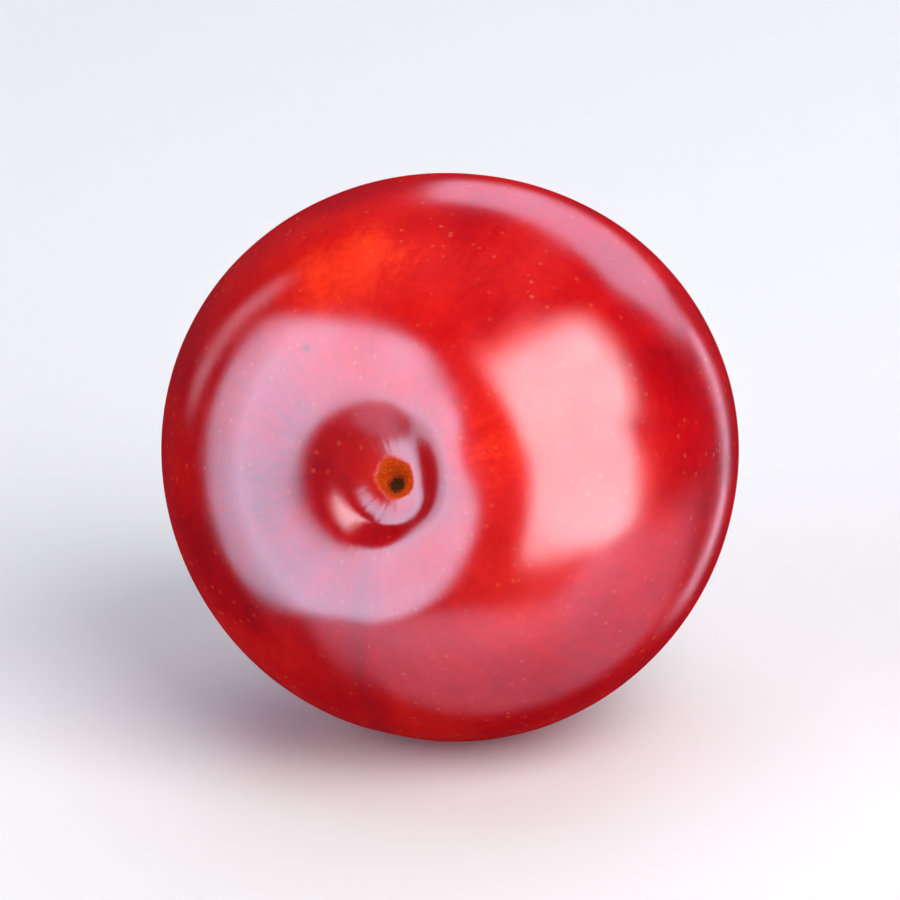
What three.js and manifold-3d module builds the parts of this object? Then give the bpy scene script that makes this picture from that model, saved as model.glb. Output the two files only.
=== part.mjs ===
// A ripe red plum, one solid fruit, lying on its side with its stem end facing forwards (-Y) and a little up.
// Millimetres, +Z up. The origin is on the surface it lies on, under the middle of the fruit.
import * as THREE from "three";
import { mergeVertices } from "three/addons/utils/BufferGeometryUtils.js";
import Module from "manifold-3d";

const wasm = await Module();
wasm.setup();

// Body: a rounded fruit, a little fuller near the stem than near the blossom end
const DIAMETER = 52; // across the two cheeks
const STEM_HALF = 26.5; // middle to the stem end, before the stem cavity is pressed in
const BLOSSOM_HALF = 26.5; // middle to the blossom end, before its point is added
const SHOULDER = 0.045; // share by which the stem half is fuller and the blossom half slimmer
const CHEEK = 0.008; // share by which the cheeks stand wider than the suture side

// Stem cavity: a broad dip with a steeper pit in it
const DIP_DEPTH = 4;
const DIP_RADIUS = 9.5;
const PIT_DEPTH = 1.6;
const PIT_RADIUS = 5.2;
const PIT_STEEPNESS = 3.4; // 2 gives a funnel, higher values a flatter floor and steeper walls
const PIT_OFFSET_ALONG = -0.6; // of the pit's middle from the stem axis, towards the suture
const PIT_OFFSET_ACROSS = 0.5; // and square to the suture

// Lean of the pit: its rim and its floor are tilted different ways, and the floor is shifted sideways
const RIM_TILT_ALONG = -0.1; // slope towards the suture
const RIM_TILT_ACROSS = 0.06; // slope square to the suture
const RIM_TILT_REACH = 8; // distance over which the tilt fades
const FLOOR_TILT_ALONG = 0.1;
const FLOOR_TILT_ACROSS = -0.2;
const FLOOR_TILT_REACH = 3.2;
const FLOOR_SHIFT_ALONG = 0.4;
const FLOOR_SHIFT_ACROSS = 1.4;
const FLOOR_SHIFT_REACH = 5;

// Swelling on one side of the pit's rim
const RIM_SWELL_HEIGHT = 0.6;
const RIM_SWELL_RADIUS = 3;
const RIM_SWELL_ALONG = -2; // of its middle from the stem axis, towards the suture
const RIM_SWELL_ACROSS = 5; // and square to the suture

// Scar on the floor of the pit, where the stalk came away: a low ring round a small hole
const SCAR_RADIUS = 1.2;
const SCAR_RING_WIDTH = 0.35;
const SCAR_RING_HEIGHT = 0.12;
const SCAR_HOLE_DEPTH = 0.5;
const SCAR_HOLE_RADIUS = 0.75;

// Blossom end: a blunt point
const POINT_HEIGHT = 0.6;
const POINT_RADIUS = 8;

// Suture: the faint crease down one side, which starts from a pocket in the wall of the pit
const CREASE_DEPTH = 0.08;
const CREASE_WIDTH = 2.6;
const CREASE_START = 2; // distance from the stem axis where the crease begins
const CREASE_FULL = 5; // and where it has its whole depth
const CREASE_BLOSSOM_FULL = 14; // the same distance at the blossom end, where it fades more slowly
const SUTURE_SIDE = 0.6; // cosine of the angle round from the suture within which the crease isn't faded
const POCKET_DEPTH = 0.7;
const POCKET_WIDTH = 3.4;
const POCKET_ANGLE = 0.155; // radians from the stem end to the deepest part of the pocket
const POCKET_SPREAD = 0.075; // radians over which it fades
const VALLEY_DEPTH = 0.15; // the wide, shallow valley that the crease lies in
const VALLEY_WIDTH = 9;

// Uneven growth: slow swellings round the fruit
const SWELL_THREE = 0.16; // height of the three swellings round the girth
const SWELL_THREE_TURN = 1.1; // radians by which they are turned from the suture
const SWELL_ONE_SIDED = 0.22; // height of the one on a single side of the stem half
const SWELL_ONE_SIDED_TURN = -0.5;

// How the fruit lies
const STEM_ELEVATION = THREE.MathUtils.degToRad(15.2); // of the stem end above the level
const STEM_TURN = THREE.MathUtils.degToRad(18); // of the stem end towards -X
const SUTURE_ROLL = THREE.MathUtils.degToRad(4); // of the suture from straight down, towards -X
const REST_DEPTH = 0.4; // height of the cap taken off where the fruit touches the surface

// Fineness of the faceted surface
const MERIDIANS = 80;
const RINGS = 46;
const POLE_CROWDING = 0.78; // 0 spaces the rings evenly, near 1 crowds them at the two ends
const SAME_POINT = 1e-5; // points nearer to each other than this are one point

const SKIN_COLOUR = 0xb90d18;
const SKIN_ROUGHNESS = 0.28;

const bell = (distance, width) => Math.exp(-((distance / width) ** 2));

// Outline of the fruit in a plane through its stem axis: x is out from the axis, y is towards the stem end.
function outlinePoint(polar) {
  const up = Math.cos(polar);
  const out = (DIAMETER / 2) * Math.abs(Math.sin(polar)) * (1 + SHOULDER * up);
  if (up < 0) {
    return new THREE.Vector2(out, BLOSSOM_HALF * up - POINT_HEIGHT * bell(out, POINT_RADIUS));
  }
  const ring = SCAR_RING_HEIGHT * bell(out - SCAR_RADIUS, SCAR_RING_WIDTH);
  const hole = SCAR_HOLE_DEPTH * bell(out, SCAR_HOLE_RADIUS);
  return new THREE.Vector2(out, STEM_HALF * up - DIP_DEPTH * bell(out, DIP_RADIUS) + ring - hole);
}

// Ring angles from the blossom end to the stem end, closer together near both.
function ringAngle(ring) {
  const share = ring / RINGS;
  return Math.PI * (1 - share + (POLE_CROWDING * Math.sin(2 * Math.PI * share)) / (2 * Math.PI));
}

// How far the skin is drawn in at a point: the suture lies along +X, and turn is the angle round from it.
function creaseDepth(polar, out, turn) {
  const aside = out * Math.sin(turn);
  const full = polar < Math.PI / 2 ? CREASE_FULL : CREASE_BLOSSOM_FULL;
  const start = THREE.MathUtils.smoothstep(out, CREASE_START, full);
  const facing = THREE.MathUtils.smoothstep(Math.cos(turn), 0, SUTURE_SIDE);
  const crease = CREASE_DEPTH * bell(aside, CREASE_WIDTH);
  const pocket = POCKET_DEPTH * bell(aside, POCKET_WIDTH) * bell(polar - POCKET_ANGLE, POCKET_SPREAD);
  return start * facing * (crease + pocket + VALLEY_DEPTH * bell(aside, VALLEY_WIDTH));
}

// How far a point is moved to press in the leaning pit: nothing on the blossom half.
function pitMove(polar, out, x, y) {
  if (polar > Math.PI / 2) return new THREE.Vector3();
  const fromMiddle = Math.hypot(x - PIT_OFFSET_ALONG, y - PIT_OFFSET_ACROSS) / PIT_RADIUS;
  const pit = PIT_DEPTH * Math.exp(-(fromMiddle ** PIT_STEEPNESS));
  const fromSwell = Math.hypot(x - RIM_SWELL_ALONG, y - RIM_SWELL_ACROSS);
  const rimSwell = RIM_SWELL_HEIGHT * bell(fromSwell, RIM_SWELL_RADIUS);
  const rimTilt = (RIM_TILT_ALONG * x + RIM_TILT_ACROSS * y) * bell(out, RIM_TILT_REACH);
  const floorTilt = (FLOOR_TILT_ALONG * x + FLOOR_TILT_ACROSS * y) * bell(out, FLOOR_TILT_REACH);
  const shift = bell(out, FLOOR_SHIFT_REACH);
  const move = new THREE.Vector3(FLOOR_SHIFT_ALONG, FLOOR_SHIFT_ACROSS, 0).multiplyScalar(shift);
  return move.setZ(rimTilt + rimSwell + floorTilt - pit);
}

// Joins the points that lie on each other and drops the triangles that this leaves without area.
function closed(geometry) {
  const joined = mergeVertices(geometry, SAME_POINT);
  const corners = joined.index.array;
  const kept = [];
  for (let i = 0; i < corners.length; i += 3) {
    const [a, b, c] = corners.subarray(i, i + 3);
    if (a !== b && b !== c && c !== a) kept.push(a, b, c);
  }
  joined.setIndex(kept);
  return joined;
}

// The turned body with its stem end at +Z. Every point keeps its angle from the stem end.
function turnedBody() {
  const angles = Array.from({ length: RINGS + 1 }, (_, ring) => ringAngle(ring));
  const outline = angles.map(outlinePoint);
  outline[0].x = 0;
  outline[RINGS].x = 0;
  const body = new THREE.LatheGeometry(outline, MERIDIANS);
  body.rotateX(Math.PI / 2);
  body.deleteAttribute("normal");
  body.deleteAttribute("uv");
  const count = body.attributes.position.count;
  const polars = Float32Array.from({ length: count }, (_, i) => angles[i % angles.length]);
  body.setAttribute("polar", new THREE.BufferAttribute(polars, 1));
  return closed(body);
}

// The grown fruit: the turned body with its suture, its cheeks, its uneven growth and its pit.
function grownFruit() {
  const fruit = turnedBody();
  const places = fruit.attributes.position;
  for (let i = 0; i < places.count; i++) {
    const polar = fruit.attributes.polar.getX(i);
    const out = Math.hypot(places.getX(i), places.getY(i));
    const turn = Math.atan2(places.getY(i), places.getX(i));
    const girth = Math.sin(polar) ** 2;
    const oneSided = SWELL_ONE_SIDED * Math.cos(polar) * Math.sin(turn + SWELL_ONE_SIDED_TURN);
    const swell = girth * (SWELL_THREE * Math.sin(3 * turn + SWELL_THREE_TURN) + oneSided);
    const inward = creaseDepth(polar, out, turn) - swell;
    const newOut = out * (1 - CHEEK * Math.cos(2 * turn) * girth) - inward * Math.sin(polar);
    const newUp = places.getZ(i) - inward * Math.cos(polar);
    const x = newOut * Math.cos(turn);
    const y = newOut * Math.sin(turn);
    const move = pitMove(polar, out, x, y);
    places.setXYZ(i, x + move.x, y + move.y, newUp + move.z);
  }
  fruit.deleteAttribute("polar");
  return fruit;
}

// The turn that lays the fruit down: its stem axis and suture as directions of the part's frame.
function lyingTurn() {
  const stem = new THREE.Vector3(
    -Math.sin(STEM_TURN) * Math.cos(STEM_ELEVATION),
    -Math.cos(STEM_TURN) * Math.cos(STEM_ELEVATION),
    Math.sin(STEM_ELEVATION),
  );
  const left = new THREE.Vector3(0, 0, 1).cross(stem).negate().normalize();
  const under = new THREE.Vector3().crossVectors(stem, left).normalize();
  if (under.z > 0) under.negate();
  const suture = under.multiplyScalar(Math.cos(SUTURE_ROLL)).addScaledVector(left, Math.sin(SUTURE_ROLL));
  return new THREE.Matrix4().makeBasis(suture, new THREE.Vector3().crossVectors(stem, suture), stem);
}

// A closed geometry as a solid that can be cut.
function solidOf(geometry) {
  const vertProperties = geometry.attributes.position.array;
  const triVerts = new Uint32Array(geometry.index.array);
  return new wasm.Manifold(new wasm.Mesh({ numProp: 3, vertProperties, triVerts }));
}

// A solid as a geometry again.
function geometryOf(solid) {
  const mesh = solid.getMesh();
  const geometry = new THREE.BufferGeometry();
  geometry.setAttribute("position", new THREE.BufferAttribute(mesh.vertProperties, 3));
  geometry.setIndex(new THREE.BufferAttribute(mesh.triVerts, 1));
  geometry.computeVertexNormals();
  return geometry;
}

// The lying fruit with a small flat where it touches the surface.
function restingPlum() {
  const fruit = grownFruit().applyMatrix4(lyingTurn());
  fruit.computeBoundingBox();
  const box = fruit.boundingBox;
  const restHeight = box.min.z + REST_DEPTH;

  const under = new THREE.BoxGeometry(DIAMETER, DIAMETER, DIAMETER);
  under.translate(0, 0, restHeight - DIAMETER / 2);
  under.deleteAttribute("normal");
  under.deleteAttribute("uv");
  const geometry = geometryOf(solidOf(fruit).subtract(solidOf(closed(under))));

  const finish = { color: SKIN_COLOUR, roughness: SKIN_ROUGHNESS, metalness: 0 };
  const plum = new THREE.Mesh(geometry, new THREE.MeshStandardMaterial(finish));
  plum.name = "plum";
  plum.position.set(-(box.min.x + box.max.x) / 2, -(box.min.y + box.max.y) / 2, -restHeight);
  return plum;
}

const part = new THREE.Group();
part.add(restingPlum());

export default part;
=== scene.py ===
# %% [markdown]
# # A ripe red plum
# This lesson dresses one whole plum. The fruit lies on its side and turns its stem end towards us,
# so the two things that show first are the glossy red skin and the hollow where the stalk came away.
# The imported model is the frame for everything here: it says how big the fruit is and where it lies.
# We read it first, and use its box to set the dressed fruit in place.

import math

import bmesh
import bpy
import numpy as np
from mathutils import Matrix, Quaternion, Vector, noise


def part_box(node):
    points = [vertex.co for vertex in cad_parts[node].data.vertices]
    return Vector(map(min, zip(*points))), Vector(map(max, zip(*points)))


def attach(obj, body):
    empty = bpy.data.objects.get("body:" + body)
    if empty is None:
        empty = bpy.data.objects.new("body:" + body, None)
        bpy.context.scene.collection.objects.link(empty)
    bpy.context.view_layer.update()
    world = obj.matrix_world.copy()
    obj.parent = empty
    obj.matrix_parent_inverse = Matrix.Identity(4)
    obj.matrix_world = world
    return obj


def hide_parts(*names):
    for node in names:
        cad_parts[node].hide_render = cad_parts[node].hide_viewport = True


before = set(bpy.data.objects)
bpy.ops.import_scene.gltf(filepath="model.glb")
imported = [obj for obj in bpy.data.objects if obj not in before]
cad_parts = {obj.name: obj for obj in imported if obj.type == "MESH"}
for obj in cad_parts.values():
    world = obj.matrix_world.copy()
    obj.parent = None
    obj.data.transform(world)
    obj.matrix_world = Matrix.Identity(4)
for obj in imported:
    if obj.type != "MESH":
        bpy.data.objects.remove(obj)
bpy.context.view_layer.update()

# %% [markdown]
# ## The outline that the fruit is turned from
# A plum grows round a line from the stalk to the blossom end, so half an outline, turned about
# that line, gives nearly all of it. We could push a ball into shape by hand, or sculpt it.
# A formula is better here: the solid was made from the same one, so the two can't drift apart,
# and we can put the points as close together as the stem end needs.
# All measures of the fruit are in millimetres, and only the finished mesh is turned into metres.

# %% Measures of the fruit
MM = 0.001
RADIUS = 26.0
STEM_HALF = 26.5
BLOSSOM_HALF = 26.5
SHOULDER = 0.045
DIP_DEPTH, DIP_RADIUS = 4.0, 9.5
POINT_HEIGHT, POINT_RADIUS = 0.6, 8.0


def bell(distance, width):
    """1 in the middle, fading to 0 a couple of widths away."""
    return np.exp(-((distance / width) ** 2))


def ease(value, low, high):
    """0 below low, 1 above high, and a smooth step between."""
    share = np.clip((value - low) / (high - low), 0, 1)
    return share * share * (3 - 2 * share)


def outline(polar):
    """Distance out from the stem line, and height along it, for an angle from the stem end."""
    up = np.cos(polar)
    out = RADIUS * np.abs(np.sin(polar)) * (1 + SHOULDER * up)
    stem_side = STEM_HALF * up - DIP_DEPTH * bell(out, DIP_RADIUS)
    blossom_side = BLOSSOM_HALF * up - POINT_HEIGHT * bell(out, POINT_RADIUS)
    return out, np.where(up < 0, blossom_side, stem_side)


ends = outline(np.array([0, math.pi]))[1]
print("ends of the stem line, mm:", [round(float(end), 1) for end in ends])

# %% [markdown]
# ## Points on the skin
# The points sit on rings round the stem line, like the lines of latitude on a globe.
# They lie close together in the pit, where the scar and its wrinkles are, and about three times
# as far apart on the plain cheeks. That is where detail is spent on a real model too:
# close together where the eye goes, and no closer than needed elsewhere.

# %% Rings and meridians
MERIDIANS = 256
RINGS = 383
PIT_SPACING = 0.09
CHEEK_WIDER, CHEEK_FROM, CHEEK_FULL = 0.24, 0.12, 0.8
BLOSSOM_CLOSER, BLOSSOM_FROM, BLOSSOM_FULL = 0.16, 2.6, 3.1


def ring_angles():
    """Angles from the stem end for every ring, the two ends included."""
    fine = np.linspace(0, math.pi, 4000)
    spacing = PIT_SPACING + CHEEK_WIDER * ease(fine, CHEEK_FROM, CHEEK_FULL)
    spacing = spacing - BLOSSOM_CLOSER * ease(fine, BLOSSOM_FROM, BLOSSOM_FULL)
    steps = np.concatenate([[0], np.cumsum(1 / spacing[1:])])
    return np.interp(np.linspace(0, steps[-1], RINGS + 2), steps, fine)


polar = np.repeat(ring_angles()[1:-1], MERIDIANS)
turn = np.tile(np.arange(MERIDIANS) * 2 * math.pi / MERIDIANS, RINGS)
polar = np.concatenate([[0.0], polar, [math.pi]])
turn = np.concatenate([[0.0], turn, [0.0]])
out, up = outline(polar)
near_stem = polar < 1
near_flower = polar > 2
print("points on the skin:", len(polar))

# %% [markdown]
# ## The suture and the uneven growth
# A plum isn't truly round. A faint crease, the suture, runs down one side. It starts from a pocket
# in the wall of the stem hollow and lies in a wide, shallow valley, and the cheeks swell unevenly.
# A shallow dent could be made by a displace modifier, but a few lines of arithmetic keep it
# where the solid has it.

# %% Draw in the suture and swell the cheeks
CHEEK = 0.008
CREASE_DEPTH, CREASE_WIDTH = 0.08, 2.6
POCKET_DEPTH, POCKET_WIDTH, POCKET_ANGLE, POCKET_SPREAD = 0.7, 3.4, 0.155, 0.075
CREASE_START, CREASE_FULL, CREASE_BLOSSOM_FULL = 2.0, 5.0, 14.0
SUTURE_SIDE = 0.6
VALLEY_DEPTH, VALLEY_WIDTH = 0.15, 9.0
SWELL_THREE, SWELL_THREE_START = 0.16, 1.1
SWELL_LEAN, SWELL_LEAN_START = 0.22, -0.5


def ripple(height, count, start=0.0, around=turn):
    """Waves of this height that come this many times round the stem line."""
    return height * np.sin(count * around + start)


aside = out * np.sin(turn)
full = np.where(polar < math.pi / 2, CREASE_FULL, CREASE_BLOSSOM_FULL)
on_suture = ease(out, CREASE_START, full) * ease(np.cos(turn), 0, SUTURE_SIDE)
pocket = POCKET_DEPTH * bell(polar - POCKET_ANGLE, POCKET_SPREAD) * bell(aside, POCKET_WIDTH)
valley = VALLEY_DEPTH * bell(aside, VALLEY_WIDTH)
crease = CREASE_DEPTH * bell(aside, CREASE_WIDTH) + valley + pocket
girth = np.sin(polar) ** 2
lean_swell = np.cos(polar) * ripple(SWELL_LEAN, 1, SWELL_LEAN_START)
swell = girth * (ripple(SWELL_THREE, 3, SWELL_THREE_START) + lean_swell)
inward = on_suture * crease - swell
print("suture, mm: deepest", round(float((on_suture * crease).max()), 2))

# %% [markdown]
# ## Fine relief
# Close up, the skin has small forms of its own. Fine wrinkles run into the pit, the scar is a corky
# ring with torn fibres in its hollow, and the blossom end keeps the tiny scar of the flower.
# The skin itself is faintly wavy, which is why reflections on fruit have soft, wandering edges.
# A bump map could fake all this, but real points catch light and shadow properly.

# %% The stem scar and its wrinkles
SCAR_RADIUS, SCAR_RING_WIDTH, SCAR_RING_HEIGHT = 1.2, 0.35, 0.12
SCAR_HOLE_DEPTH, SCAR_HOLE_RADIUS = 0.5, 0.75
FIBRE_HEIGHT, FIBRE_RADIUS, FIBRE_WIDTH = 0.08, 0.5, 0.28
WRINKLE_START, WRINKLE_FULL, WRINKLE_FADE, WRINKLE_END = 2.0, 3.0, 4.0, 7.0

scar_edge = SCAR_RADIUS * (1 + ripple(0.06, 2, 0.7) + ripple(0.04, 5, 2.0))
ring_height = SCAR_RING_HEIGHT * (1 + ripple(0.25, 3, 0.4) + ripple(0.18, 11))
scar_ring = bell(out - scar_edge, SCAR_RING_WIDTH) * near_stem
scar_hole = bell(out, SCAR_HOLE_RADIUS) * near_stem
fibres = bell(out - FIBRE_RADIUS, FIBRE_WIDTH) * ripple(FIBRE_HEIGHT, 5, 1.0) * near_stem
up = up + ring_height * scar_ring - SCAR_HOLE_DEPTH * scar_hole + fibres

wrinkle_turn = turn + out * ripple(0.05, 2, 0.3)
wrinkles = ripple(0.003, 19, 0.0, wrinkle_turn) + ripple(0.002, 31, 1.3, wrinkle_turn)
in_pit = ease(out, WRINKLE_START, WRINKLE_FULL) * (1 - ease(out, WRINKLE_FADE, WRINKLE_END))
inward = inward + wrinkles * in_pit * near_stem
in_scar = (out < SCAR_RADIUS) & near_stem
print("scar across, mm:", round(2 * SCAR_RADIUS, 1), "points within it:", int(in_scar.sum()))

# %% The flower's scar and the waviness
FLOWER_RING_HEIGHT, FLOWER_RING_RADIUS, FLOWER_RING_WIDTH = 0.05, 0.8, 0.3
FLOWER_HOLE_DEPTH, FLOWER_HOLE_RADIUS = 0.12, 0.5
LONG_WAVE, LONG_WAVE_HEIGHT, LONG_WAVE_SHIFT = 13, 0.05, 3.0
SHORT_WAVE, SHORT_WAVE_HEIGHT, SHORT_WAVE_SHIFT = 4.5, 0.012, 9.0
WAVES_START, WAVES_FULL = 2.5, 6.0

flower_ring = FLOWER_RING_HEIGHT * bell(out - FLOWER_RING_RADIUS, FLOWER_RING_WIDTH)
flower_hole = FLOWER_HOLE_DEPTH * bell(out, FLOWER_HOLE_RADIUS)
inward = inward + near_flower * (flower_hole - flower_ring)

places = np.stack([out * np.cos(turn), out * np.sin(turn), up], axis=1)


def waves(size, shift):
    """A smooth wander between about -1 and 1 over the skin, with waves of this size."""
    moved = Vector((shift, 0, 0))
    return np.array([noise.noise(Vector(place) / size + moved) for place in places])


waviness = LONG_WAVE_HEIGHT * waves(LONG_WAVE, LONG_WAVE_SHIFT)
waviness = waviness + SHORT_WAVE_HEIGHT * waves(SHORT_WAVE, SHORT_WAVE_SHIFT)
inward = inward + ease(out, WAVES_START, WAVES_FULL) * waviness
print("waviness, mm: highest", round(float(waviness.max()), 3))

# %% [markdown]
# ## The leaning pit
# The steep part of the hollow isn't round about the stem line. Its rim and its floor lean different
# ways, the rim swells on one side, and the scar sits off the middle, which bends the mirrored
# windows into uneven crescents. Turning an outline can't give that, so the points that are already
# there are pressed down and pushed aside. Each push fades out with the distance from the stem line,
# so the rest of the fruit keeps its shape.

# %% Press in the pit
PIT_DEPTH, PIT_RADIUS, PIT_STEEPNESS = 1.6, 5.2, 3.4
PIT_MIDDLE = (-0.6, 0.5)
RIM_TILT, RIM_TILT_REACH = (-0.1, 0.06), 8.0
FLOOR_TILT, FLOOR_TILT_REACH = (0.1, -0.2), 3.2
FLOOR_SHIFT, FLOOR_SHIFT_REACH = (0.4, 1.4), 5.0
RIM_SWELL_HEIGHT, RIM_SWELL_RADIUS = 0.6, 3.0
RIM_SWELL_MIDDLE = (-2.0, 5.0)

new_out = out * (1 - CHEEK * np.cos(2 * turn) * girth) - inward * np.sin(polar)
new_up = up - inward * np.cos(polar)
fruit = np.stack([new_out * np.cos(turn), new_out * np.sin(turn), new_up], axis=1)


def away_from(middle):
    """How far the points are from a spot, seen along the stem line."""
    return np.linalg.norm(fruit[:, :2] - middle, axis=1)


pit = PIT_DEPTH * np.exp(-((away_from(PIT_MIDDLE) / PIT_RADIUS) ** PIT_STEEPNESS))
rim_swell = RIM_SWELL_HEIGHT * bell(away_from(RIM_SWELL_MIDDLE), RIM_SWELL_RADIUS)
rim_lean = (fruit[:, :2] @ RIM_TILT) * bell(out, RIM_TILT_REACH)
floor_lean = (fruit[:, :2] @ FLOOR_TILT) * bell(out, FLOOR_TILT_REACH)
fruit[:, 2] += near_stem * (rim_lean + rim_swell + floor_lean - pit)
fruit[:, :2] += np.outer(near_stem * bell(out, FLOOR_SHIFT_REACH), FLOOR_SHIFT)
print("hollow, mm: depth below the rim", round(float(fruit[:, 2].max() - fruit[0, 2]), 1))

# %% [markdown]
# ## Laying the fruit down
# So far the stem end points straight up. The real fruit lies on its side, with the stem end turned
# towards us, a little to the left and a little up, and the suture runs nearly straight down from it.
# We could rotate the object, but a turned mesh keeps the object at the origin, where the frame's
# own pieces are. A soft fruit settles on a small flat spot, so whatever would dip below the surface
# is pressed level with it.

# %% Turn the fruit and set it on the surface
STEM_ELEVATION = math.radians(15.2)
STEM_TURN = math.radians(18)
SUTURE_ROLL = math.radians(4)
REST_DEPTH = 0.4

stem = Vector((
    -math.sin(STEM_TURN) * math.cos(STEM_ELEVATION),
    -math.cos(STEM_TURN) * math.cos(STEM_ELEVATION),
    math.sin(STEM_ELEVATION),
))
left = stem.cross(Vector((0, 0, 1))).normalized()
if left.x > 0:
    left = -left
under = stem.cross(left).normalized()
if under.z > 0:
    under = -under
suture = under * math.cos(SUTURE_ROLL) + left * math.sin(SUTURE_ROLL)
lying = np.array(Matrix((suture, stem.cross(suture), stem)))

lain = fruit @ lying
low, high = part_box("plum")
lain[:, 0] += (low.x + high.x) / 2 / MM - (lain[:, 0].min() + lain[:, 0].max()) / 2
lain[:, 1] += (low.y + high.y) / 2 / MM - (lain[:, 1].min() + lain[:, 1].max()) / 2
lain[:, 2] += low.z / MM - lain[:, 2].min() - REST_DEPTH
lain[:, 2] = np.maximum(lain[:, 2], low.z / MM)
print("stem points along", [round(part, 2) for part in stem])
print("suture runs along", [round(part, 2) for part in suture])

# %% [markdown]
# ## The mesh of the skin
# The points are joined into four-sided faces between neighbouring rings, with a fan of three-sided
# ones at each end. Each point also remembers facts that the colours will need: where it lies on the
# fruit, how far it is from the stem end, and how much it belongs to the scar, the flower's scar
# or the suture. Such facts on points are called attributes, and they stay with the mesh
# when it is turned or exported.

# %% Make the plum
def skin_faces():
    """Quads between the rings and a fan of triangles at each end."""
    around = np.arange(MERIDIANS)
    ring_start = 1 + MERIDIANS * np.arange(RINGS - 1)[:, None]
    first = ring_start + around
    beside = ring_start + (around + 1) % MERIDIANS
    quads = np.stack([first, first + MERIDIANS, beside + MERIDIANS, beside], axis=2).reshape(-1, 4)
    last_ring = 1 + MERIDIANS * (RINGS - 1)
    end = last_ring + MERIDIANS
    stem_fan = [(0, 1 + i, 1 + (i + 1) % MERIDIANS) for i in around]
    flower_fan = [(end, last_ring + (i + 1) % MERIDIANS, last_ring + i) for i in around]
    return quads.tolist() + stem_fan + flower_fan


skin_mesh = bpy.data.meshes.new("plum_skin")
skin_mesh.from_pydata((lain * MM).tolist(), [], skin_faces())
skin_mesh.validate()
skin_mesh.shade_smooth()
plum = bpy.data.objects.new("plum_skin", skin_mesh)
bpy.context.collection.objects.link(plum)
faces_out = skin_mesh.polygons[0].normal.dot(stem) > 0
print("skin:", len(skin_mesh.polygons), "faces, facing out:", faces_out)

# %% What the points remember
CORK_EDGE = 1.5
CORE_MIDDLE, CORE_RADIUS = (0.55, 0.1), 0.95
HOLLOW_RADIUS, HOLLOW_WIDTH = 5.0, 2.6
FLOOR_RADIUS = 2.8
FLOWER_SCAR_RADIUS = 0.75
FLOWER_HALO_RADIUS, FLOWER_HALO_WIDTH = 1.1, 0.5
SUTURE_LINE = 0.9


def remember(name, values):
    """Keeps one number, or one set of three, on every point of the skin."""
    kind, slot = ("FLOAT", "value") if values.ndim == 1 else ("FLOAT_VECTOR", "vector")
    kept = skin_mesh.attributes.new(name, kind, "POINT")
    kept.data.foreach_set(slot, values.astype(np.float32).ravel())


from_core = np.linalg.norm(places[:, :2] - CORE_MIDDLE, axis=1)
remember("fruit", fruit)
remember("meridian", np.stack([np.cos(turn), np.sin(turn), polar], axis=1))
remember("scar_ring", ease(CORK_EDGE * scar_edge - out, -0.4, 0.5) * near_stem)
remember("scar_core", bell(from_core, CORE_RADIUS) * near_stem)
remember("hollow", bell(out - HOLLOW_RADIUS, HOLLOW_WIDTH) * near_stem)
remember("pit_floor", bell(out, FLOOR_RADIUS) * near_stem)
remember("flower_scar", bell(out, FLOWER_SCAR_RADIUS) * near_flower)
remember("flower_halo", bell(out - FLOWER_HALO_RADIUS, FLOWER_HALO_WIDTH) * near_flower)
remember("suture", on_suture * bell(aside, SUTURE_LINE))
print("facts on the points:", len(skin_mesh.attributes))

# %% [markdown]
# ## Where the fruit is riper, and painted light and shade
# One side of a plum has had more sun. On this one a patch at the upper left of the front glows
# orange, where the yellow flesh shows through. The rest of the front is a bright red, a little darker
# at the right edge, and the back is a deeper crimson. Round the hollow the skin is darker with painted
# shade, and the lower front is lighter with painted light, which stands in for light from the floor.
# We could paint this by hand. Instead each point gets one number for its ripeness and painted light,
# worked out from the way it faces, and the colour nodes later break its edges up.

# %% Ripeness of the skin, with painted light and shade
PLAIN_RIPENESS = 0.5
FRECKLE_WAY, FRECKLE_SPREAD = (-0.49, -0.63, 0.6), 0.013

centred = lain - (lain.max(axis=0) + lain.min(axis=0)) / 2
facing = centred / np.linalg.norm(centred, axis=1, keepdims=True)


def patch(direction, spread):
    """1 where the skin faces this way, fading out over the spread in radians."""
    towards = np.clip(facing @ np.array(Vector(direction).normalized()), -1, 1)
    return bell(np.arccos(towards), spread)


orange_patch = 0.42 * patch((-0.36, -0.45, 0.82), 0.28)
bright_front = 0.24 * patch((0.15, -0.95, 0.25), 0.65)
# painted light: the lower front is made lighter, standing in for light bounced up from the floor
painted_bounce_light = 0.1 * patch((-0.25, -0.8, -0.55), 0.6)
blossom_end = 0.15 * patch(-stem, 0.45)
# painted shade: the skin round the stem hollow, on the left of the front, is made darker
painted_shade_round_hollow = 0.26 * patch((-0.45, -0.9, 0.1), 0.45)
crimson_back = 0.22 * patch((0.5, 0.8, -0.3), 1.0)
right_edge = 0.14 * patch((0.84, -0.43, 0.33), 0.35)
riper_and_painted_light = orange_patch + bright_front + painted_bounce_light + blossom_end
darker_and_painted_shade = painted_shade_round_hollow + crimson_back + right_edge
ripeness_and_painted_light = PLAIN_RIPENESS + riper_and_painted_light - darker_and_painted_shade
remember("ripeness_and_painted_light", ripeness_and_painted_light)
remember("freckle", patch(FRECKLE_WAY, FRECKLE_SPREAD))
print("ripeness from", round(float(ripeness_and_painted_light.min()), 2), "to", round(float(ripeness_and_painted_light.max()), 2))

# %% [markdown]
# ## The colour of the skin
# A red plum's skin is thin and its red lies in tiny cells over a yellow ground. Seen close it is
# never one red: fine streaks follow the meridians, small mottles break up the streaks, and pale
# pores, the lenticels, dot it. An image would do, but nodes have no seams and stay sharp at any size.
# Each layer is one short chain of nodes: a pattern, a ramp to set its strength,
# and a mix into the colour so far.

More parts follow.
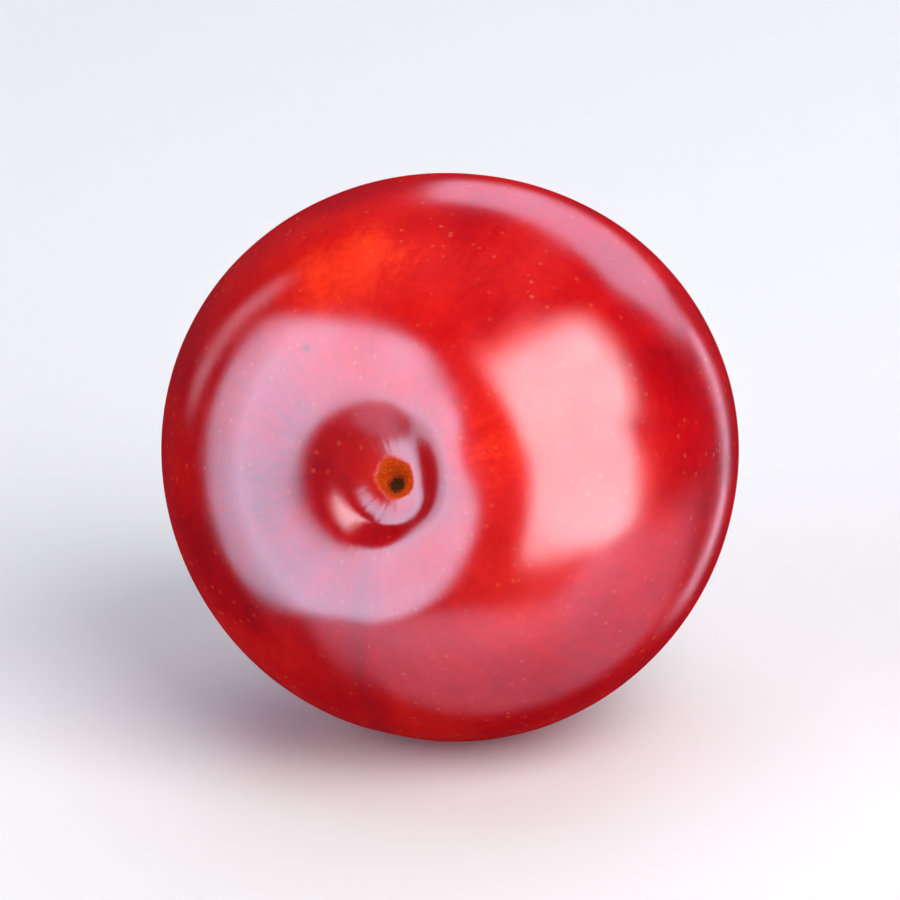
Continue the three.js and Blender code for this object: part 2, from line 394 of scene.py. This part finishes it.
# %% A node bench for the skin
skin = bpy.data.materials.new("plum_skin")
skin.use_nodes = True
nodes, links = skin.node_tree.nodes, skin.node_tree.links
nodes.clear()


def add(kind, **settings):
    """A new node with some of its settings filled in."""
    node = nodes.new(kind)
    for name, value in settings.items():
        setattr(node, name, value)
    return node


def plug(source, socket):
    """Joins an output to a socket, or sets the socket where the source is a plain value."""
    if isinstance(source, bpy.types.NodeSocket):
        links.new(source, socket)
    else:
        socket.default_value = source


def fact(name, output="Fac"):
    """A fact that the points of the skin remember."""
    return add("ShaderNodeAttribute", attribute_name=name).outputs[output]


def reckon(operation, first, second, clamp=False):
    """Arithmetic on two numbers."""
    node = add("ShaderNodeMath", operation=operation, use_clamp=clamp)
    plug(first, node.inputs[0])
    plug(second, node.inputs[1])
    return node.outputs[0]


print("node bench ready:", skin.name)

# %% Patterns and layers
def stretch(value, low, high, new_low=0.0, new_high=1.0):
    """Spreads low to high over new_low to new_high, with soft ends."""
    node = add("ShaderNodeMapRange", interpolation_type="SMOOTHSTEP")
    plug(value, node.inputs["Value"])
    node.inputs["From Min"].default_value = low
    node.inputs["From Max"].default_value = high
    node.inputs["To Min"].default_value = new_low
    node.inputs["To Max"].default_value = new_high
    return node.outputs["Result"]


def clouds(vector, scale, detail=2.0, roughness=0.5):
    """Soft noise over the skin, from 0 to 1."""
    node = add("ShaderNodeTexNoise")
    plug(vector, node.inputs["Vector"])
    node.inputs["Scale"].default_value = scale
    node.inputs["Detail"].default_value = detail
    node.inputs["Roughness"].default_value = roughness
    return node.outputs["Fac"]


def sway(pattern, amount):
    """Turns a noise into a push up or down by at most this amount."""
    return stretch(pattern, 0.3, 0.7, -amount, amount)


def tint(under, over, share):
    """Lays one colour over another, by a share from 0 to 1."""
    node = add("ShaderNodeMix", data_type="RGBA")
    plug(share, node.inputs["Factor"])
    plug(under, node.inputs[6])
    plug(over, node.inputs[7])
    return node.outputs[2]


on_fruit = fact("fruit", "Vector")
print("patterns lie on:", on_fruit.node.attribute_name)

# %% [markdown]
# ### Ground, streaks and mottles
# The ripeness, with the painted light and shade in it, picks a red from a ramp
# that goes from deep crimson to orange red.
# Before that, three noises push it up and down: wide blotches, streaks drawn out along
# the meridians, and mottles as fine as they really are, a bit under a millimetre.

# %% From ripeness to red
ALONG_MERIDIANS = (8, 8, 1.3)
REDS = (
    (0.0, (0.08, 0.001, 0.004, 1)),
    (0.28, (0.19, 0.0015, 0.005, 1)),
    (0.52, (0.35, 0.002, 0.005, 1)),
    (0.76, (0.50, 0.008, 0.006, 1)),
    (1.0, (0.76, 0.034, 0.010, 1)),
)

along = add("ShaderNodeMapping", vector_type="POINT")
plug(fact("meridian", "Vector"), along.inputs["Vector"])
along.inputs["Scale"].default_value = ALONG_MERIDIANS

blotches = clouds(on_fruit, 0.09, 3)
streaks = clouds(along.outputs["Vector"], 1.6, 4, 0.6)
mottles = clouds(on_fruit, 1.3, 3, 0.6)
push = reckon("ADD", sway(blotches, 0.10), sway(streaks, 0.035))
push = reckon("ADD", push, sway(mottles, 0.04))
shade = reckon("ADD", fact("ripeness_and_painted_light"), push, clamp=True)

reds = add("ShaderNodeValToRGB")
red_stops = reds.color_ramp.elements
red_stops[0].color = REDS[0][1]
red_stops[1].color = REDS[-1][1]
for place, red in REDS[1:-1]:
    red_stops.new(place).color = red
plug(shade, reds.inputs["Fac"])
colour = reds.outputs["Color"]
print("reds on the ramp:", len(red_stops))

# %% [markdown]
# ### Lenticels
# The pores are pale dots, the largest about half a millimetre across. A Voronoi pattern scatters
# points through space, and the skin cuts through the little balls round them, so the dots come out
# in different sizes, as they do on fruit.

# %% Pale pores
PORES_PER_MM = 0.75
PORE_RADIUS = 0.2
PORE_COLOUR = (0.74, 0.22, 0.10, 1)

pores = add("ShaderNodeTexVoronoi", feature="F1", voronoi_dimensions="3D")
plug(on_fruit, pores.inputs["Vector"])
pores.inputs["Scale"].default_value = PORES_PER_MM
pore_size = PORE_RADIUS * PORES_PER_MM
pore_spot = stretch(pores.outputs["Distance"], 0.5 * pore_size, 1.4 * pore_size, 1.0, 0.0)
pore_strength = stretch(clouds(on_fruit, 0.16), 0.35, 0.65, 0.03, 0.18)
colour = tint(colour, PORE_COLOUR, reckon("MULTIPLY", pore_spot, pore_strength))
print("pores about", 2 * PORE_RADIUS, "mm across, with soft edges")

# %% [markdown]
# ### Suture, hollow and scars
# The suture is drawn by a thin darker line. The wall of the hollow is painted a darker crimson,
# which is painted shade in the recess, and its floor a brighter red. The scar is cork: an orange-brown
# ring and a dark middle, broken up by its own fine noise, because a clean edge there would look
# printed. The flower's scar is a brown speck with a pale rim, and one dark freckle sits on the skin
# above the hollow.

# %% Tint the hollow with painted shade, and the stem scar
SUTURE_RED = (0.16, 0.003, 0.010, 1)
HOLLOW_SHADE_RED = (0.17, 0.0015, 0.004, 1)
FLOOR_RED = (0.55, 0.020, 0.008, 1)
DARK_CORK, LIGHT_CORK = (0.24, 0.020, 0.002, 1), (0.52, 0.055, 0.003, 1)
SCAR_BROWN = (0.030, 0.008, 0.002, 1)

colour = tint(colour, SUTURE_RED, reckon("MULTIPLY", fact("suture"), 0.35))
# painted shade: the wall of the hollow is made darker
colour = tint(colour, HOLLOW_SHADE_RED, reckon("MULTIPLY", fact("hollow"), 0.25))
colour = tint(colour, FLOOR_RED, reckon("MULTIPLY", fact("pit_floor"), 0.6))
grain = clouds(on_fruit, 4.5, 4, 0.65)
cork = tint(DARK_CORK, LIGHT_CORK, stretch(grain, 0.3, 0.7))
ring_share = stretch(reckon("ADD", fact("scar_ring"), sway(grain, 0.25)), 0.2, 0.8)
colour = tint(colour, cork, ring_share)
core_share = stretch(reckon("ADD", fact("scar_core"), sway(grain, 0.2)), 0.35, 0.8)
colour = tint(colour, SCAR_BROWN, core_share)
print("hollow and stem scar tinted, nodes so far:", len(nodes))

# %% Tint the flower's scar and the freckle
HALO_COLOUR = (0.62, 0.16, 0.05, 1)
FLOWER_BROWN = (0.17, 0.05, 0.015, 1)
FRECKLE_BROWN = (0.06, 0.006, 0.006, 1)

colour = tint(colour, HALO_COLOUR, reckon("MULTIPLY", fact("flower_halo"), 0.3))
flower_speck = reckon("ADD", fact("flower_scar"), sway(grain, 0.25))
colour = tint(colour, FLOWER_BROWN, stretch(flower_speck, 0.3, 1.0, 0.0, 0.85))
colour = tint(colour, FRECKLE_BROWN, reckon("MULTIPLY", fact("freckle"), 0.8))
print("layers of colour done, nodes so far:", len(nodes))

# %% [markdown]
# ## Gloss, bloom and bump
# The skin is waxy. Where the wax is rubbed smooth it mirrors the windows softly, and where the bloom
# is left, as in the hollow, it is a little duller, so the roughness wanders. The cork of the scar
# hardly mirrors at all. A smooth ball mirrors strongly along its rim, and under big windows the rim
# would burn out to white. So the gloss is turned down where the skin is seen at a glancing angle.
# A very fine bump stands for the cell texture of the skin, which is too small for points.
# Light goes a little way into the flesh and comes out red, so some of it is scattered
# under the surface.

# %% Roughness and gloss
BLOOM_ROUGHNESS, CORK_ROUGHNESS = 0.02, 0.5
CORK_GLOSS = 0.12
PLAIN_GLOSS = 0.5
RIM_FALL, RIM_GAIN = 4.2, 1.3

shader = add("ShaderNodeBsdfPrincipled")
surface = add("ShaderNodeOutputMaterial")
plug(shader.outputs["BSDF"], surface.inputs["Surface"])
plug(colour, shader.inputs["Base Color"])

rubbed = stretch(clouds(on_fruit, 0.14, 4, 0.6), 0.35, 0.7, 0.17, 0.26)
bloom = reckon("MULTIPLY", fact("hollow"), BLOOM_ROUGHNESS)
corky = reckon("MULTIPLY", ring_share, CORK_ROUGHNESS)
roughness = reckon("ADD", reckon("ADD", rubbed, bloom), corky, clamp=True)
plug(roughness, shader.inputs["Roughness"])

glancing = add("ShaderNodeLayerWeight")
glancing.inputs["Blend"].default_value = 0.5
straight_on = reckon("SUBTRACT", 1.0, glancing.outputs["Facing"])
falling = reckon("MULTIPLY", reckon("POWER", straight_on, RIM_FALL), RIM_GAIN)
wax_gloss = reckon("MINIMUM", falling, PLAIN_GLOSS)
gloss = reckon("MULTIPLY", wax_gloss, stretch(ring_share, 0.0, 1.0, 1.0, CORK_GLOSS))
plug(gloss, shader.inputs["Specular IOR Level"])
shader.inputs["IOR"].default_value = 1.5
print("gloss joined, nodes so far:", len(nodes))

# %% Bump and light under the skin
cells = clouds(on_fruit, 2.6, 3, 0.6)
relief = add("ShaderNodeBump")
relief.inputs["Strength"].default_value = 0.02
relief.inputs["Distance"].default_value = 0.0004
plug(reckon("ADD", cells, reckon("MULTIPLY", ring_share, grain)), relief.inputs["Height"])
plug(relief.outputs["Normal"], shader.inputs["Normal"])

shader.inputs["Subsurface Weight"].default_value = 0.12
shader.inputs["Subsurface Radius"].default_value = (1.0, 0.12, 0.06)
shader.inputs["Subsurface Scale"].default_value = 0.0025
print("shader joined, nodes:", len(nodes))

# %% [markdown]
# ## Put the dressed plum in the frame
# The dressed skin stands for the solid of the same fruit, so it replaces that node, rides on
# the part's one body, and takes the skin material.

# %% Dress the part
plum.data.materials.append(skin)
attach(plum, "root")
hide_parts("plum")

# %% [markdown]
# ## Floor and room
# The plum lies on a pale floor that runs out of sight. The room is dim in front, so the red stays
# deep, and a little brighter behind, which lifts the edge of the skin.
# Glossy things show their whole surroundings, so what the skin mirrors matters as much as
# what lights it. The floor is hidden from reflections only, and the lower half of the room
# stands in for it there: a plain floor this near would cut the mirrored windows off
# in a hard line across the fruit.

# %% Floor
REACH = 4.0
FLOOR_GAP = 0.00005
FLOOR_COLOUR = (0.6, 0.6, 0.605, 1)

floor_mesh = bpy.data.meshes.new("floor")
corners = [(-REACH, -REACH, 0), (REACH, -REACH, 0), (REACH, REACH, 0), (-REACH, REACH, 0)]
floor_mesh.from_pydata(corners, [], [(0, 1, 2, 3)])
floor = bpy.data.objects.new("floor", floor_mesh)
floor.location.z = low.z - FLOOR_GAP
floor.visible_glossy = False
bpy.context.collection.objects.link(floor)

pale = bpy.data.materials.new("pale_floor")
pale.use_nodes = True
pale_shader = pale.node_tree.nodes["Principled BSDF"]
pale_shader.inputs["Base Color"].default_value = FLOOR_COLOUR
pale_shader.inputs["Roughness"].default_value = 0.8
floor.data.materials.append(pale)
print("floor across, m:", 2 * REACH)

# %% Room light
ROOM_COLOUR = (0.72, 0.78, 1.0, 1)

room = bpy.data.worlds.new("room")
bpy.context.scene.world = room
room.use_nodes = True
room_nodes, room_links = room.node_tree.nodes, room.node_tree.links
way = room_nodes.new("ShaderNodeTexCoord")
apart = room_nodes.new("ShaderNodeSeparateXYZ")
room_links.new(way.outputs["Generated"], apart.inputs["Vector"])


def room_step(output, start, end, first, last):
    """Brightness that goes smoothly from first to last along one direction of the room."""
    step = room_nodes.new("ShaderNodeMapRange")
    step.interpolation_type = "SMOOTHSTEP"
    room_links.new(apart.outputs[output], step.inputs["Value"])
    step.inputs["From Min"].default_value = start
    step.inputs["From Max"].default_value = end
    step.inputs["To Min"].default_value = first
    step.inputs["To Max"].default_value = last
    return step.outputs["Result"]


brighter = room_nodes.new("ShaderNodeMath")
brighter.operation = "MAXIMUM"
room_links.new(room_step("Y", 0.6, 0.97, 0.015, 0.4), brighter.inputs[0])
room_links.new(room_step("Z", -0.55, -0.25, 0.06, 0.0), brighter.inputs[1])
room_links.new(brighter.outputs[0], room_nodes["Background"].inputs["Strength"])
room_nodes["Background"].inputs["Color"].default_value = ROOM_COLOUR
print("room: dim in front, brighter behind and below")

# %% [markdown]
# ## Lamps and mirrored windows
# On the skin two pale windows are mirrored with a band of plain red between. The left one leans and
# bends round the stem hollow, and the right one has two panes, one above the other.
# A faint pink glow comes up from below and from the lower right, a window behind draws the lilac
# streak at the top, and a narrow strip stands at each side.
# In a studio the lamp that gives the light is also the one that is mirrored. Here the two jobs are
# split: lamps that reflections don't see give the light, and glowing panels that only reflections
# see give the windows. So the size and strength of a window can be set without making the whole
# fruit brighter. Each panel has rounded corners and thins out to clear at its edge,
# because a hard edge would look cut out.

# %% Soft lamps
middle = (low + high) / 2


def away(bearing, rise):
    """The direction from the plum to a bearing, round from the front to the right, and a rise."""
    bearing, rise = math.radians(bearing), math.radians(rise)
    level = math.cos(rise)
    return Vector((math.sin(bearing) * level, -math.cos(bearing) * level, math.sin(rise)))


def soft_lamp(name, bearing, rise, distance, size, power, colour):
    """A soft square lamp that looks at the plum and that reflections don't see."""
    lamp = bpy.data.lights.new(name, "AREA")
    lamp.shape = "RECTANGLE"
    lamp.size, lamp.size_y = size, size
    lamp.energy = power
    lamp.color = colour
    holder = bpy.data.objects.new(name, lamp)
    holder.location = middle + away(bearing, rise) * distance
    holder.rotation_euler = (-away(bearing, rise)).to_track_quat("-Z", "Y").to_euler()
    holder.visible_camera = False
    holder.visible_glossy = False
    bpy.context.collection.objects.link(holder)
    print(name, "at", [round(part, 2) for part in holder.location])


soft_lamp("left_lamp", -55, 16, 0.9, 0.8, 6.0, (0.90, 0.93, 1.0))
soft_lamp("right_lamp", 42, 40, 0.9, 0.8, 13.0, (1.0, 0.97, 0.95))
soft_lamp("top_lamp", 170, 68, 1.1, 1.2, 8.0, (1.0, 1.0, 1.0))

# %% A panel with soft, round corners
WINDOW_DISTANCE = 1.2
PANEL_STEPS = 32
SQUARENESS = 7


def round_panel(name, wide, high, soft):
    """A flat panel of these sizes in degrees. Its points remember how far inside its edge they are."""
    half_x = WINDOW_DISTANCE * math.tan(math.radians(wide / 2))
    half_y = WINDOW_DISTANCE * math.tan(math.radians(high / 2))
    shape = bmesh.new()
    bmesh.ops.create_grid(shape, x_segments=PANEL_STEPS, y_segments=PANEL_STEPS, size=1)
    points = np.abs([point.co for point in shape.verts])[:, :2]
    from_centre = (points ** SQUARENESS).sum(axis=1) ** (1 / SQUARENESS)
    bmesh.ops.scale(shape, vec=(half_x, half_y, 1), verts=shape.verts)
    panel_mesh = bpy.data.meshes.new(name)
    shape.to_mesh(panel_mesh)
    shape.free()
    inside = panel_mesh.attributes.new("inside", "FLOAT", "POINT")
    inside.data.foreach_set("value", 1 - ease(from_centre, 1 - soft, 1))
    return panel_mesh


def window_glow(name, glow, colour):
    """A glow that thins out to clear at the panel's edge."""
    glowing = bpy.data.materials.new(name)
    glowing.use_nodes = True
    glowing.cycles.emission_sampling = "NONE"
    glow_nodes, glow_links = glowing.node_tree.nodes, glowing.node_tree.links
    glow_nodes.remove(glow_nodes["Principled BSDF"])
    light = glow_nodes.new("ShaderNodeEmission")
    light.inputs["Color"].default_value = (*colour, 1)
    light.inputs["Strength"].default_value = glow
    clear = glow_nodes.new("ShaderNodeBsdfTransparent")
    fade = glow_nodes.new("ShaderNodeAttribute")
    fade.attribute_name = "inside"
    edge = glow_nodes.new("ShaderNodeMixShader")
    glow_links.new(fade.outputs["Fac"], edge.inputs["Fac"])
    glow_links.new(clear.outputs["BSDF"], edge.inputs[1])
    glow_links.new(light.outputs["Emission"], edge.inputs[2])
    glow_links.new(edge.outputs["Shader"], glow_nodes["Material Output"].inputs["Surface"])
    return glowing


print("panels stand", WINDOW_DISTANCE, "m away")

# %% Mirrored windows
PINK_GLOW = (0.95, 0.68, 1.0)


def mirrored_window(name, bearing, rise, wide, high, soft, glow, colour, lean=0):
    """A glowing panel that only reflections see. Bearing, rise, sizes and lean are in degrees."""
    panel = bpy.data.objects.new(name, round_panel(name, wide, high, soft))
    panel.data.materials.append(window_glow(name, glow, colour))
    panel.location = middle + away(bearing, rise) * WINDOW_DISTANCE
    facing_plum = (-away(bearing, rise)).to_track_quat("-Z", "Y")
    leaning = Quaternion((0, 0, 1), math.radians(lean))
    panel.rotation_euler = (facing_plum @ leaning).to_euler()
    bpy.context.collection.objects.link(panel)
    for sight in ("camera", "diffuse", "transmission", "volume_scatter", "shadow"):
        setattr(panel, "visible_" + sight, False)
    print(name, "across, m:", [round(side, 2) for side in panel.dimensions[:2]])


mirrored_window("left_window", -65, 5, 90, 90, 0.24, 13.5, (0.45, 0.71, 1.0), lean=12)
mirrored_window("upper_right_window", 50, 38, 80, 48, 0.36, 14.5, (0.85, 0.92, 1.0))
mirrored_window("lower_right_window", 46, 0, 68, 50, 0.36, 14.0, (0.85, 0.90, 1.0))
mirrored_window("floor_glow", 32, -70, 116, 70, 0.35, 3.0, PINK_GLOW)
mirrored_window("right_glow", 84, -42, 74, 60, 0.5, 4.0, PINK_GLOW)
mirrored_window("back_window", 156, 23, 54, 34, 0.2, 13.0, (0.77, 0.70, 1.0))
mirrored_window("left_strip", -127, 15, 12, 50, 0.6, 7.0, (0.85, 0.78, 1.0))
mirrored_window("right_strip", 142, -15, 8, 54, 0.5, 24.0, (0.90, 0.74, 1.0))

# %% [markdown]
# ## Camera
# The camera looks down by about twenty degrees with a long lens, so the round fruit isn't drawn out
# at its edges. It aims at the middle of the fruit and needs no shift.

# %% Set up the camera
CAMERA_ELEVATION = math.radians(20)
LENS = 300
SENSOR = 36
PLUM_SHARE = 0.64

view_width = (high.x - low.x) / PLUM_SHARE
distance = view_width * LENS / SENSOR
camera_data = bpy.data.cameras.new("camera")
camera_data.lens = LENS
camera_data.sensor_width = SENSOR
camera = bpy.data.objects.new("camera", camera_data)
back = Vector((0, -math.cos(CAMERA_ELEVATION), math.sin(CAMERA_ELEVATION)))
camera.location = middle + back * distance
camera.rotation_euler = (-back).to_track_quat("-Z", "Y").to_euler()
bpy.context.collection.objects.link(camera)
bpy.context.scene.camera = camera
bpy.context.scene.view_settings.view_transform = "Standard"
print("camera is", round(distance, 2), "m away")
